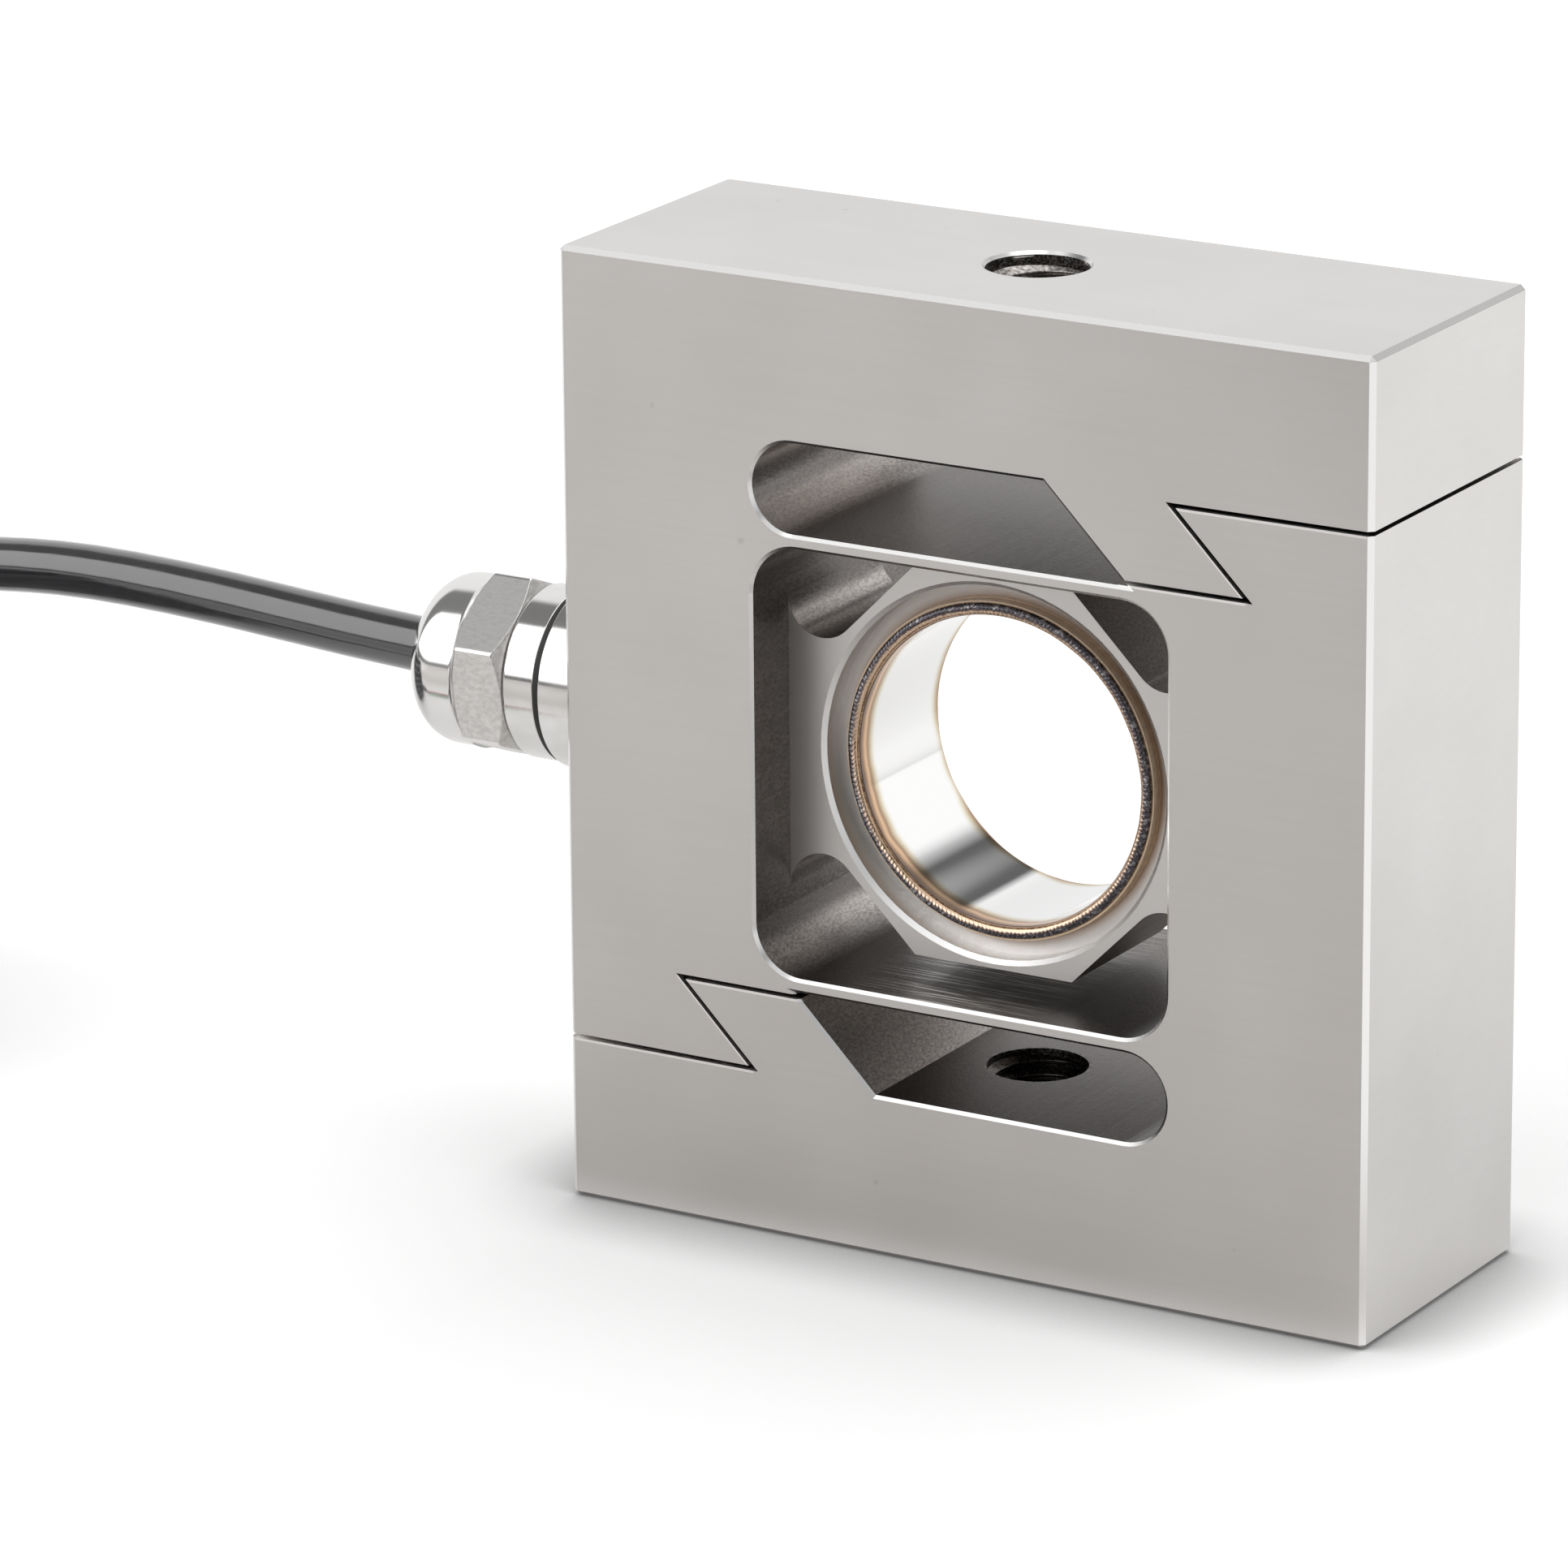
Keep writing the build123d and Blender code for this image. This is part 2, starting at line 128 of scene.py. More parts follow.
def gland_ring(name, profile, look, replaced, steps=240, wobble=None):
    """Ring turned about the gland's axis from a closed (length out, radius) profile.

    A function in wobble changes the radius by the angle and the length out.
    """
    points = []
    for i in range(steps):
        a = 2 * math.pi * i / steps
        for out, radius in profile:
            if wobble:
                radius = wobble(a, out, radius)
            points.append((-HALF_W - out, -radius * math.cos(a), MID_Z + radius * math.sin(a)))
    add_piece(name, points, grid(steps, len(profile), wrap_rows=True), look, replaced)


def bore_ring(name, profile, look, replaced):
    """Ring turned about the bore's axis from a closed (depth, radius) profile."""
    steps = 360
    points = []
    for i in range(steps):
        a = 2 * math.pi * i / steps
        for depth, radius in profile:
            points.append((radius * math.cos(a), depth, MID_Z + radius * math.sin(a)))
    add_piece(name, points, grid(steps, len(profile), wrap_rows=True), look, replaced)


# Node materials


class Nodes:
    """A node tree, with short calls that add to it."""

    def __init__(self, tree):
        self.tree = tree

    def set(self, socket, value):
        """Link an output to a socket, or set the socket's own value."""
        if isinstance(value, bpy.types.NodeSocket):
            self.tree.links.new(value, socket)
        elif value is not None:
            socket.default_value = value

    def node(self, kind, inputs=(), output=0, **settings):
        """Add a node, fill its inputs in order or by name, and return one output."""
        made = self.tree.nodes.new("ShaderNode" + kind)
        for name, value in settings.items():
            setattr(made, name, value)
        pairs = inputs.items() if isinstance(inputs, dict) else enumerate(inputs)
        for key, value in pairs:
            self.set(made.inputs[key], value)
        return made.outputs[output]

    def position(self):
        """Place on the object in metres."""
        return self.node("TexCoord", output="Object")

    def millimetres(self):
        """Place on the object as x, y and z in millimetres."""
        return self.parts(self.stretched(self.position(), (1 / MM,) * 3))

    def facing(self):
        """Which way the surface faces on the object."""
        return self.node("TexCoord", output="Normal")

    def parts(self, vector):
        """The x, y and z of a vector."""
        made = self.tree.nodes.new("ShaderNodeSeparateXYZ")
        self.tree.links.new(vector, made.inputs["Vector"])
        return made.outputs

    def math(self, operation, a, b=None):
        """Result of a Math node; b is left out where one number is enough."""
        return self.node("Math", (a, b), operation=operation)

    def every(self, *values):
        """Product of masks: on where all of them are."""
        result = values[0]
        for value in values[1:]:
            result = self.math("MULTIPLY", result, value)
        return result

    def either(self, *values):
        """Highest of several masks: on where any of them is."""
        result = values[0]
        for value in values[1:]:
            result = self.math("MAXIMUM", result, value)
        return result

    def distance(self, a, b):
        """Distance from the origin in the plane of two coordinates."""
        squares = [self.math("MULTIPLY", v, v) for v in (a, b)]
        return self.math("SQRT", self.math("ADD", *squares))

    def stretched(self, vector, scale):
        """A vector times a scale for each axis."""
        return self.node("VectorMath", (vector, scale), operation="MULTIPLY")

    def noise(self, vector, scale, detail=3.0, roughness=0.5):
        values = {"Vector": vector, "Scale": scale, "Detail": detail, "Roughness": roughness}
        return self.node("TexNoise", values)

    def between(self, value, low, high, to_low=0.0, to_high=1.0):
        """Linear ramp of a value from one range to another, held at its ends."""
        made = self.tree.nodes.new("ShaderNodeMapRange")
        for key, v in zip(("Value", "From Min", "From Max", "To Min", "To Max"),
                          (value, low, high, to_low, to_high)):
            self.set(made.inputs[key], v)
        return made.outputs["Result"]

    def rising(self, value, start, end):
        """Mask that goes from off to on between two values."""
        return self.between(value, start, end)

    def falling(self, value, start, end):
        """Mask that goes from on to off between two values."""
        return self.between(value, start, end, 1.0, 0.0)

    def within(self, value, low, high, soft):
        """Mask that is on between two values, with ends this soft."""
        return self.every(
            self.rising(value, low, low + soft), self.falling(value, high - soft, high))

    def ramp(self, value, stops):
        """Colour ramp through (position, colour) stops."""
        made = self.tree.nodes.new("ShaderNodeValToRGB")
        while len(made.color_ramp.elements) < len(stops):
            made.color_ramp.elements.new(0.5)
        for element, (place, color) in zip(made.color_ramp.elements, stops):
            element.position = place
            element.color = (*color, 1.0)
        self.tree.links.new(value, made.inputs["Fac"])
        return made.outputs["Color"]

    # A Mix node has a row of sockets for each kind of data, so they go by number:
    # the share is input 0, numbers are inputs 2 and 3, colours inputs 6 and 7

    def mix(self, share, a, b):
        """Mix of two colours."""
        made = self.tree.nodes.new("ShaderNodeMix")
        made.data_type = "RGBA"
        for socket, value in ((made.inputs[0], share), (made.inputs[6], a), (made.inputs[7], b)):
            is_color = isinstance(value, tuple) and len(value) == 3
            self.set(socket, (*value, 1.0) if is_color else value)
        return made.outputs[2]

    def blend(self, share, a, b):
        """Mix of two numbers."""
        made = self.tree.nodes.new("ShaderNodeMix")
        made.data_type = "FLOAT"
        for socket, value in ((made.inputs[0], share), (made.inputs[2], a), (made.inputs[3], b)):
            self.set(socket, value)
        return made.outputs[0]


class Look(Nodes):
    """A material with its shader."""

    def __init__(self, name, color, roughness, metallic=0.0):
        self.material = bpy.data.materials.new(name)
        self.material.use_nodes = True
        super().__init__(self.material.node_tree)
        self.shader = self.tree.nodes["Principled BSDF"]
        self.put("Base Color", (*color, 1.0))
        self.put("Roughness", roughness)
        self.put("Metallic", metallic)

    def put(self, socket, value):
        """Set a socket of the shader, or link something to it."""
        self.set(self.shader.inputs[socket], value)

    def bump(self, height, distance, strength):
        """Relief from a height, in metres at full height."""
        made = self.tree.nodes.new("ShaderNodeBump")
        made.inputs["Strength"].default_value = strength
        made.inputs["Distance"].default_value = distance
        self.tree.links.new(height, made.inputs["Height"])
        self.put("Normal", made.outputs[0])


def give(look, *names):
    """Give CAD nodes this material."""
    for name in names:
        mesh = nodes[name].data
        mesh.materials.clear()
        mesh.materials.append(look.material)


class Steel(Look):
    """The block: satin ground outside, milled inside, heat tinted round the welds."""

    def __init__(self):
        super().__init__("satin_steel_look", (0.72, 0.71, 0.70), 0.3, 1.0)
        self.place = self.position()
        self.x, self.y, z = self.millimetres()
        self.up = self.math("SUBTRACT", z, MID_Z)
        self.off_x, self.off_y, self.off_z = (
            self.math("ABSOLUTE", v) for v in (self.x, self.y, self.up))
        self.from_axis = self.distance(self.x, self.up)
        self.nx, ny, self.nz = self.parts(self.facing())
        self.to_x, self.to_y, self.to_z = (
            self.math("ABSOLUTE", v) for v in (self.nx, ny, self.nz))
        self.clouds = self.noise(self.place, 70.0, 2.0, 0.5)
        self.grain = self.noise(self.stretched(self.place, (1.0, 0.45, 1.0)), 5200.0, 2.0, 0.65)
        self.flats = self.noise(self.stretched(self.place, (650.0, 9.0, 650.0)), 1.0, 3.0, 0.6)
        self.find_regions()
        self.put_color()
        self.put_surface()

    def find_regions(self):
        """Where the surface is: a broad outer face, a broken edge, the web, the recess rim."""
        reaches = ((self.off_x, HALF_W), (self.off_y, HALF_T), (self.off_z, BLOCK_H / 2))
        skins = [
            self.rising(off, half - EDGE_CHAMFER - 0.05, half - EDGE_CHAMFER)
            for off, half in reaches]
        square_on = [self.rising(to, 0.90, 0.95) for to in (self.to_x, self.to_y, self.to_z)]
        side_skin, self.front_skin, end_skin = skins
        broad = self.either(*(self.every(*masks) for masks in zip(skins, square_on)))
        slanting = self.falling(self.either(self.to_x, self.to_y, self.to_z), 0.80, 0.85)
        self.edge = self.every(slanting, self.either(
            side_skin, end_skin, self.every(self.front_skin, self.rising(self.to_y, 0.3, 0.4))))
        self.web = self.every(
            square_on[1], self.within(self.off_y, WEB_FACE_Y - 0.1, WEB_FACE_Y + 0.1, 0.05),
            self.falling(self.off_x, POCKET_HALF_W, POCKET_HALF_W + 0.1))
        self.smooth = self.either(broad, self.edge, self.web)
        self.rim = self.every(
            self.within(self.to_y, 0.62, 0.80, 0.04),
            self.within(self.off_y, WEB_FACE_Y - 0.4, WEB_FACE_Y + 0.05, 0.05),
            self.within(self.from_axis, RECESS_R - 0.05, RECESS_R + 0.4, 0.05))
        self.slot_end = self.every(
            self.rising(self.off_z, 18.0, 18.2), self.falling(self.x, -10.8, -10.0),
            self.falling(self.nz, -0.5, 0.5))

    def ground(self):
        """Ground faces: faint lines along the face, soft clouds and rare specks."""
        lines = self.noise(self.stretched(self.place, (45.0, 500.0, 2600.0)), 1.0, 4.0, 0.6)
        specks = self.rising(self.noise(self.place, 420.0, 1.0, 0.4), 0.80, 0.83)
        color = self.mix(self.clouds, (0.665, 0.650, 0.635), (0.765, 0.752, 0.740))
        color = self.mix(self.between(lines, 0.3, 0.7, 0.0, 0.14), color, (0.60, 0.59, 0.58))
        return self.mix(self.every(specks, 0.35), color, (0.36, 0.35, 0.34))

    def milled(self):
        """Milled walls: fine grain, marks along the cutter, a painted highlight on the slot ends.
        """
        light_grain = self.rising(self.grain, 0.36, 0.64)
        color = self.mix(light_grain, (0.32, 0.295, 0.28), (0.61, 0.575, 0.55))
        # Painted highlight: the rounded left ends of the slots get a much paler colour
        painted_end_highlight = self.mix(light_grain, (0.62, 0.575, 0.54), (0.92, 0.87, 0.83))
        color = self.mix(self.slot_end, color, painted_end_highlight)
        cutter_marks = self.every(
            self.between(self.flats, 0.35, 0.65, 0.0, 0.45), self.falling(self.nz, 0.90, 0.97),
            self.between(self.slot_end, 0.0, 1.0, 1.0, 0.35))
        color = self.mix(cutter_marks, color, (0.34, 0.31, 0.295))
        # Painted shade: level walls, the pocket's left wall and the web's sides are painted much
        # darker
        color = self.mix(self.painted_wall_shade(), color, (0.02, 0.015, 0.012))
        color = self.mix(self.every(self.floor_streaks(), 0.75), color, (0.80, 0.78, 0.76))
        # Painted shade: the walls of the threaded end holes are painted dark
        in_hole = self.every(
            self.falling(self.distance(self.x, self.y), 4.2, 4.25),
            self.rising(self.off_z, 25.0, 25.5))
        painted_hole_shade = self.mix(
            self.rising(self.grain, 0.45, 0.65), (0.05, 0.045, 0.04), (0.28, 0.265, 0.25))
        return self.mix(in_hole, color, painted_hole_shade)

    def painted_wall_shade(self):
        """How much painted shade a milled wall gets: level ones, the pocket's left one, the web's
        sides.
        """
        level = self.every(
            self.rising(self.nz, 0.60, 0.90), self.rising(self.x, -17.0, -13.8),
            self.between(self.y, -2.0, 8.0, 1.0, 0.85))
        left = self.every(self.rising(self.nx, 0.85, 0.95), self.falling(self.x, -15.0, -14.9))
        web_side = self.every(
            self.rising(self.nx, 0.45, 0.6), self.rising(self.nz, 0.45, 0.6),
            self.falling(self.from_axis, 19.0, 19.5))
        return self.either(
            self.every(level, 0.80), self.every(left, 0.60), self.every(web_side, 0.78))

    def floor_streaks(self):
        """Light streaks of the cutter on the pocket's floor."""
        field = self.noise(self.stretched(self.place, (110.0, 4200.0, 1.0)), 1.0, 3.0, 0.6)
        return self.every(
            self.rising(field, 0.52, 0.60), self.rising(self.nz, 0.90, 0.95),
            self.within(self.off_z, 17.0, 17.4, 0.1),
            self.rising(self.x, -11.0, -6.0), self.falling(self.x, 1.0, 7.0))

    def painted_edge_light(self):
        """Broken edges with painted light: a bright painted highlight, less bright at the sides'
        ends and where they face up, and a painted shadow where they face down.
        """
        side_end = self.every(self.rising(self.to_x, 0.5, 0.6), self.rising(self.to_z, 0.5, 0.6))
        front_up = self.every(self.rising(self.nz, 0.45, 0.6), self.rising(self.to_y, 0.45, 0.6))
        under = self.falling(self.nz, -0.6, -0.45)
        color = self.mix(side_end, (0.88, 0.875, 0.87), (0.50, 0.495, 0.49))
        color = self.mix(front_up, color, (0.68, 0.675, 0.67))
        return self.mix(under, color, (0.36, 0.35, 0.345))

    def painted_slit_highlights(self):
        """Painted highlights: light lines on the faces below each run of the two overload slits."""
        diagonal = self.math("ADD", self.x, self.up)
        runs = (
            (self.up, 18.65, self.x, 13.6, 24.6),
            (self.up, 25.15, self.x, 18.4, 34.6),
            (self.up, -18.65, self.x, -24.6, -13.6),
            (self.up, -25.15, self.x, -34.6, -18.2),
            (diagonal, 43.33, self.up, 18.4, 25.0),
            (diagonal, -43.47, self.up, -25.0, -18.6),
        )
        lines = [
            self.every(
                self.within(across, middle - 0.40, middle - 0.12, 0.04),
                self.within(along, start, end, 0.1))
            for across, middle, along, start, end in runs]
        return self.every(self.front_skin, self.either(*lines))

    def weld_tint(self):
        """Heat colours round the weld, darker above it."""
        color = self.ramp(self.rising(self.from_axis, 12.6, 15.0), [
            (0.0, (0.34, 0.20, 0.11)), (0.29, (0.58, 0.38, 0.22)), (0.34, (0.88, 0.74, 0.56)),
            (0.38, (0.34, 0.24, 0.18)), (0.48, (0.52, 0.44, 0.385)), (0.66, (0.69, 0.66, 0.635)),
            (1.0, (0.80, 0.785, 0.77))])
        return self.mix(self.between(self.up, 3.0, 13.0, 0.0, 0.45), color, (0.28, 0.24, 0.215))

    def put_color(self):
        metal = self.mix(self.smooth, self.milled(), self.ground())
        # Painted highlights and painted shadow on the broken edges
        metal = self.mix(self.edge, metal, self.painted_edge_light())
        # Painted highlight lines below the overload slits
        metal = self.mix(self.painted_slit_highlights(), metal, (1.0, 0.995, 0.99))
        tinted = self.every(
            self.falling(self.from_axis, 15.15, 15.2), self.rising(self.off_y, 4.0, 4.5),
            self.falling(self.off_y, 6.98, WEB_FACE_Y))
        metal = self.mix(tinted, metal, self.weld_tint())
        # Painted highlight on the recess rim's chamfer
        self.put("Base Color", self.mix(self.rim, metal, (0.94, 0.935, 0.93)))

    def put_surface(self):
        dull = self.blend(self.slot_end, self.between(self.grain, 0.3, 0.7, 0.30, 0.42), 0.24)
        satin = self.between(self.clouds, 0.0, 1.0, 0.28, 0.31)
        roughness = self.blend(self.web, self.blend(self.smooth, dull, satin), 0.40)
        self.put("Roughness", self.blend(self.edge, roughness, 0.24))
        relief = self.math("ADD", self.every(self.flats, 3.0), self.every(self.grain, 1.5))
        self.bump(self.blend(self.either(self.smooth, self.rim), relief, 0.5), 0.00003, 0.4)


def polished_look():
    """Turned and polished steel of the gland."""
    look = Look("polished_steel_look", (0.80, 0.79, 0.775), 0.09, 1.0)
    place = look.position()
    lathe_lines = look.noise(look.stretched(place, (5200.0, 60.0, 60.0)), 1.0, 3.0, 0.6)
    clouds = look.noise(place, 260.0, 4.0, 0.6)
    look.put("Base Color", look.mix(
        look.between(clouds, 0.3, 0.75), (0.86, 0.85, 0.84), (0.74, 0.725, 0.705)))
    look.put("Roughness", look.between(clouds, 0.3, 0.7, 0.08, 0.17))
    look.bump(lathe_lines, 0.00002, 0.25)
    return look


def nut_finish():
    """Polished dome with ground, mottled flats, and painted shade on the flats that face up."""
    look = Look("nut_look", (0.72, 0.71, 0.695), 0.2, 1.0)
    x, y, z = look.millimetres()
    off_axis = look.distance(y, look.math("SUBTRACT", z, MID_Z))
    on_hexagon = look.every(look.rising(x, -49.3, -49.1), look.rising(off_axis, 6.0, 6.1))
    on_flat = look.every(on_hexagon, look.falling(off_axis, 7.65, 7.7))
    mottle = look.noise(look.stretched(look.position(), (1700.0, 2600.0, 2600.0)), 1.0, 4.0, 0.65)
    fleck = look.rising(mottle, 0.38, 0.62)
    facing_up = look.parts(look.facing())[2]
    flats = look.mix(fleck, (0.72, 0.705, 0.69), (0.88, 0.865, 0.85))
    # Painted shade: flats that face up are painted darker
    flats = look.mix(look.between(facing_up, 0.1, 0.4, 0.0, 0.32), flats, (0.0, 0.0, 0.0))
    look.put("Base Color", look.mix(on_flat, (0.86, 0.85, 0.84), flats))
    look.put("Roughness", look.blend(on_flat, 0.12, look.between(fleck, 0.0, 1.0, 0.48, 0.36)))
    look.bump(look.every(mottle, on_flat), 0.00004, 0.3)
    return look


def mirror_look():
    """Mirror finish of the thin sleeve, heat tinted widely in front and thinly behind."""
    look = Look("sleeve_look", (0.86, 0.86, 0.855), 0.06, 1.0)
    place = look.position()
    depth = look.millimetres()[1]
    reach = look.either(look.math("MULTIPLY", depth, -1.0), look.math("SUBTRACT", depth, 1.2))
    wave = look.noise(look.stretched(place, (150.0, 60.0, 150.0)), 1.0, 3.0)
    reach = look.math("ADD", reach, look.between(wave, 0.3, 0.7, -0.35, 0.35))
    look.put("Base Color", look.ramp(look.rising(reach, 3.6, 6.2), [
        (0.0, (0.90, 0.90, 0.895)), (0.14, (0.86, 0.84, 0.78)), (0.34, (0.62, 0.52, 0.37)),
        (0.48, (0.36, 0.24, 0.16)), (0.64, (0.74, 0.50, 0.32)), (0.82, (0.30, 0.20, 0.14)),
        (1.0, (0.16, 0.13, 0.13))]))
    look.put("Roughness", look.between(reach, 4.5, 6.0, 0.07, 0.28))
    look.bump(look.noise(look.stretched(place, (900.0, 40.0, 900.0)), 1.0, 2.0), 0.00001, 0.2)
    return look


def weld_look():
    """Dark rippled weld with bright flecks, copper coloured on its inner slope."""
    look = Look("weld_look", (0.3, 0.3, 0.33), 0.28, 1.0)
    x, _, z = look.millimetres()
    radius = look.distance(x, look.math("SUBTRACT", z, MID_Z))
    mottle = look.noise(look.position(), 2600.0, 3.0, 0.65)
    across = look.math("ADD", radius, look.between(mottle, 0.3, 0.7, -0.07, 0.07))
    color = look.ramp(look.rising(across, 12.3, 13.4), [
        (0.0, (0.40, 0.26, 0.16)), (0.14, (0.70, 0.48, 0.32)), (0.32, (0.90, 0.70, 0.54)),
        (0.42, (0.32, 0.22, 0.18)), (0.49, (0.12, 0.11, 0.12)), (0.84, (0.14, 0.13, 0.145)),
        (1.0, (0.52, 0.38, 0.27))])
    flecks = look.every(look.rising(mottle, 0.54, 0.64), look.rising(radius, 12.8, 12.9))
    look.put("Base Color", look.mix(look.every(flecks, 0.7), color, (0.62, 0.60, 0.62)))
    look.put("Roughness", look.between(mottle, 0.3, 0.7, 0.16, 0.40))
    look.bump(mottle, 0.00002, 0.5)
    return look


def thread_finish():
    """Bright flecks on the thread ridges, with painted shade on the ridges in the lower hole."""
    look = Look("thread_look", (0.4, 0.38, 0.36), 0.26, 1.0)
    mottle = look.noise(look.position(), 3600.0, 4.0, 0.55)
    height = look.millimetres()[2]
    # Painted shade: ridges low in the block are painted darker than those high up
    light = look.mix(look.rising(height, 30.0, 40.0), (0.16, 0.15, 0.14), (0.50, 0.47, 0.45))
    look.put("Base Color", look.mix(look.rising(mottle, 0.3, 0.7), (0.05, 0.045, 0.04), light))
    look.put("Roughness", look.between(mottle, 0.3, 0.7, 0.21, 0.33))
    look.bump(mottle, 0.00002, 0.4)
    return look


def jacket_look():
    """Glossy black cable jacket, a little wavy along its length."""
    look = Look("cable_jacket_look", (0.012, 0.012, 0.013), 0.16)
    place = look.position()
    look.put("Base Color", look.mix(
        look.noise(place, 500.0, 3.0), (0.016, 0.016, 0.018), (0.030, 0.030, 0.033)))
    look.put("Roughness", look.between(look.noise(place, 900.0, 3.0), 0.3, 0.7, 0.12, 0.22))
    look.put("Specular IOR Level", 1.0)
    look.put("Coat Weight", 1.0)
    look.put("Coat Roughness", 0.08)
    look.put("Coat IOR", 1.6)
    waves = look.noise(look.stretched(place, (110.0, 260.0, 260.0)), 1.0, 2.0)
    look.bump(waves, 0.0002, 0.6)
    return look


def seal_look():
    """Matte black sealing rubber."""
    look = Look("seal_rubber_look", (0.02, 0.02, 0.02), 0.6)
    place = look.position()
    look.put("Base Color", look.mix(
        look.noise(place, 2200.0, 3.0), (0.010, 0.010, 0.010), (0.026, 0.025, 0.024)))
    look.bump(look.noise(place, 4000.0, 3.0), 0.00002, 0.4)
    return look


def plain_look(name, dark, light, roughness, metallic=0.0):
    """Finish with a fine mottle in its colour, gloss and surface."""
    look = Look(name, light, roughness, metallic)
    mottle = look.noise(look.position(), 1200.0, 4.0, 0.55)
    look.put("Base Color", look.mix(look.between(mottle, 0.3, 0.7), dark, light))
    look.put("Roughness", look.between(mottle, 0.3, 0.7, roughness * 0.8, roughness * 1.25))
    look.bump(mottle, 0.00002, 0.4)
    return look


GAUGES = ("strain_gauge_1", "strain_gauge_2", "strain_gauge_3", "strain_gauge_4")
RESISTORS = ("span_resistor", "zero_resistor")
PLAIN_FINISHES = (
    # look, dark and light colour, roughness, metallic, CAD nodes that get it
    ("gauge_foil_look", (0.52, 0.30, 0.10), (0.74, 0.52, 0.26), 0.38, 0.0, GAUGES),
    ("tab_copper_look", (0.62, 0.34, 0.20), (0.82, 0.70, 0.60), 0.30, 1.0, ("terminal_tabs",)),
    ("enamel_wire_look", (0.36, 0.12, 0.05), (0.62, 0.27, 0.13), 0.25, 0.0, ("bridge_wires",)),
    ("resistor_look", (0.14, 0.20, 0.30), (0.22, 0.30, 0.42), 0.35, 0.0, RESISTORS),
    ("inner_core_look", (0.66, 0.66, 0.64), (0.82, 0.82, 0.80), 0.40, 0.0, ("inner_cores",)),
    ("potting_look", (0.05, 0.05, 0.055), (0.10, 0.10, 0.105), 0.30, 0.0, ("potting_plug",)),
    ("ring_plastic_look", (0.80, 0.80, 0.77), (0.90, 0.90, 0.88), 0.45, 0.0, ("pressure_ring",)),
    ("core_red_look", (0.50, 0.02, 0.015), (0.68, 0.04, 0.03), 0.38, 0.0, ("core_red",)),
    ("core_black_look", (0.015, 0.015, 0.016), (0.035, 0.035, 0.036), 0.38, 0.0, ("core_black",)),
    ("core_green_look", (0.02, 0.27, 0.08), (0.05, 0.42, 0.14), 0.38, 0.0, ("core_green",)),
    ("core_white_look", (0.76, 0.76, 0.74), (0.88, 0.88, 0.86), 0.38, 0.0, ("core_white",)),
    ("tinned_wire_look", (0.50, 0.50, 0.50), (0.78, 0.78, 0.77), 0.32, 1.0, ("shield_lead",)),
)
for look_name, dark, light, roughness, metallic, node_names in PLAIN_FINISHES:
    give(plain_look(look_name, dark, light, roughness, metallic), *node_names)

chrome = polished_look()
nut_look = nut_finish()
mirror = mirror_look()
weld = weld_look()
thread_look = thread_finish()
jacket = jacket_look()
seal = seal_look()
strap_look = plain_look("tie_fabric_look", (0.02, 0.02, 0.022), (0.05, 0.05, 0.055), 0.85)
shrink_look = plain_look("shrink_look", (0.015, 0.015, 0.016), (0.03, 0.03, 0.032), 0.45)
give(Steel(), "spring_body")
give(seal, "seal_insert")


# Cable: its route to the coil, the turns and the tail, as one spline

# Measures in millimetres, angles round the coil in degrees
CABLE_R = 2.25
COIL_X = -130.0
COIL_Y = -22.8
TURN_PITCH = 4.7
INNER_R = 18.1
FLOOR_LEVEL_Z = 2.8
TURN = 360.0
RAMP = 45.0
TURN_STEP = 15.0
TOP_LEVEL = 7
FIRST_ANGLE = 90.0
COIL_TURNS = 20.5
TAIL_Y = COIL_Y - INNER_R - 2 * TURN_PITCH

cable_points = [
    (-HALF_W - 3.0, 0.0, MID_Z),
    (-54.0, 0.0, MID_Z),
    (-84.0, 0.0, 40.7),
    (-99.0, 0.0, 39.9),
    (-110.0, 0.0, 37.4),
]


def winding_moves():
    """Where the winding changes column or level: (angle, what moves, new value)."""
    moves = [(TURN + RAMP, "column", 0)]
    down = 2 * TURN
    columns = (1, 2)
    for level in range(TOP_LEVEL - 1, -1, -1):
        moves.append((down, "level", level))
        for j, column in enumerate(columns):
            moves.append((down + TURN - RAMP + TURN * j, "column", column))
        down += 3 * TURN - 2 * RAMP
        columns = (1, 0) if columns == (1, 2) else (1, 2)
    return moves


def winding_point(angle, moves):
    """Point of the winding at this angle, widened by what the spline cuts off."""
    column, level = 1.0, float(TOP_LEVEL)
    for start, what, value in moves:
        share = min(max((angle - start) / RAMP, 0.0), 1.0)
        if share == 0.0:
            break
        if what == "column":
            column += (value - column) * share
        else:
            level += (value - level) * share
    radius = (INNER_R + TURN_PITCH * column) / math.cos(math.radians(TURN_STEP / 2))
    a = math.radians(angle)
    height = FLOOR_LEVEL_Z + TURN_PITCH * level
    return (COIL_X + radius * math.cos(a), COIL_Y + radius * math.sin(a), height)


moves = winding_moves()
steps = int(COIL_TURNS * TURN / TURN_STEP)
for i in range(steps):
    cable_points.append(winding_point(FIRST_ANGLE + (i + 0.5) * TURN_STEP, moves))
for out in (3.0, 9.0, 18.0, 27.0):
    cable_points.append((COIL_X + out, TAIL_Y, FLOOR_LEVEL_Z))

